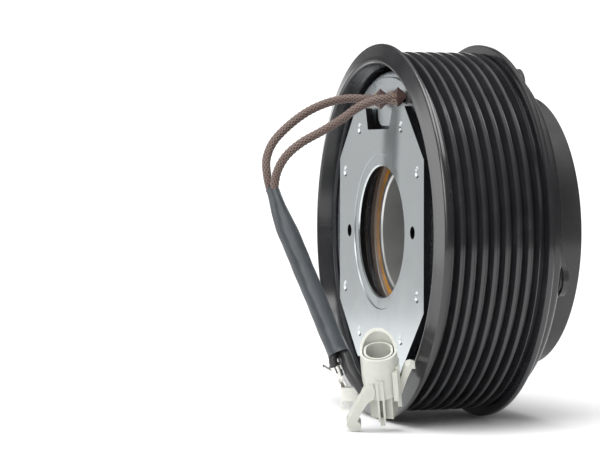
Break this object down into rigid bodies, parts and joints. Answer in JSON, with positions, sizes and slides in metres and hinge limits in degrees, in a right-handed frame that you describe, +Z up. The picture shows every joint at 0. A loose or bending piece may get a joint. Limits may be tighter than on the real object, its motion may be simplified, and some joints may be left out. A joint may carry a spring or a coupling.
{
  "type": "electromagnetic clutch",
  "caption": "Electromagnetic pulley clutch with multi-groove belt pulley, field coil, damped hub with armature plate, and a short lead set with a round plug.",
  "frame": {"origin": "on the shaft axis, in the rear face of the coil mounting plate", "axes": "Y along the shaft axis, the hub at -Y and the mounting plate at +Y; +Z up, through the top of the pulley, with the leads at the top of the coil"},
  "size_m": [0.116, 0.0871, 0.116],
  "materials": {
    "zinc_plate": "bright zinc plated sheet, mirror like",
    "black_paint": "gloss black electrocoat",
    "black_hub": "semi-gloss black paint",
    "hub_steel": "dark phosphated steel",
    "bobbin_plastic": "natural nylon",
    "copper": "enamelled copper wire",
    "resin": "black potting resin",
    "boot": "dark brown varnished sleeving",
    "braid": "brown braided sleeving",
    "shrink": "dark slate shrink tube",
    "wire_pvc": "black cable insulation",
    "tin": "tinned terminal metal",
    "nylon": "off-white nylon",
    "nylon_clear": "translucent white nylon",
    "bearing_steel": "ground bearing steel",
    "cage_plastic": "brown polyamide",
    "seal_rubber": "orange-brown seal rubber",
    "spring_steel": "blackened spring steel",
    "friction": "friction compound",
    "rivet_zinc": "zinc plated rivet",
    "rubber": "vulcanised rubber",
    "washer_zinc": "bright zinc washer"
  },
  "bodies": {
    "coil_side": {"coil_plate": "zinc_plate", "coil_housing": "zinc_plate", "coil_bobbin": "bobbin_plastic", "coil_winding": "copper", "coil_resin": "resin", "lead_cover": "zinc_plate", "lead_boots": "boot", "lead_a": "braid", "lead_b": "braid", "heat_sleeve": "shrink", "tail_a": "wire_pvc", "tail_b": "wire_pvc", "crimp_terminal": "tin", "terminal_cap": "nylon_clear", "connector_body": "nylon", "connector_lock": "nylon", "connector_pins": "tin", "bearing_inner": "bearing_steel"},
    "rolling_set": {"bearing_balls": "bearing_steel", "bearing_cage": "cage_plastic"},
    "pulley": {"bearing_outer": "bearing_steel", "seal_rear": "seal_rubber", "seal_front": "seal_rubber", "snap_ring": "spring_steel", "pulley_rim": "black_paint", "rotor": "black_paint", "friction_ring": "friction"},
    "hub": {"hub_shell": "black_hub", "hub_core": "hub_steel", "hub_washer": "washer_zinc", "rubber_ring": "rubber"},
    "armature": {"hub_cup": "black_hub", "ear_spacers": "black_hub", "armature_plate": "black_paint", "rivets": "rivet_zinc"}
  },
  "joints": [
    {"name": "pulley_spin", "type": "hinge", "parent": "coil_side", "child": "pulley", "pos_m": [0, -0.0165, 0], "axis": [0, 1, 0], "continuous": true},
    {"name": "cage_spin", "type": "hinge", "parent": "coil_side", "child": "rolling_set", "pos_m": [0, -0.0165, 0], "axis": [0, 1, 0], "continuous": true},
    {"name": "hub_spin", "type": "hinge", "parent": "coil_side", "child": "hub", "pos_m": [0, -0.0329, 0], "axis": [0, 1, 0], "continuous": true},
    {"name": "armature_pull", "type": "slide", "parent": "hub", "child": "armature", "axis": [0, 1, 0], "range_m": [0, 0.0005], "stiffness_N_per_m": 30000, "deforming": ["rubber_ring"]}
  ],
  "couplings": [
    {"joint": "cage_spin", "follows": "pulley_spin", "ratio": 0.553}
  ]
}
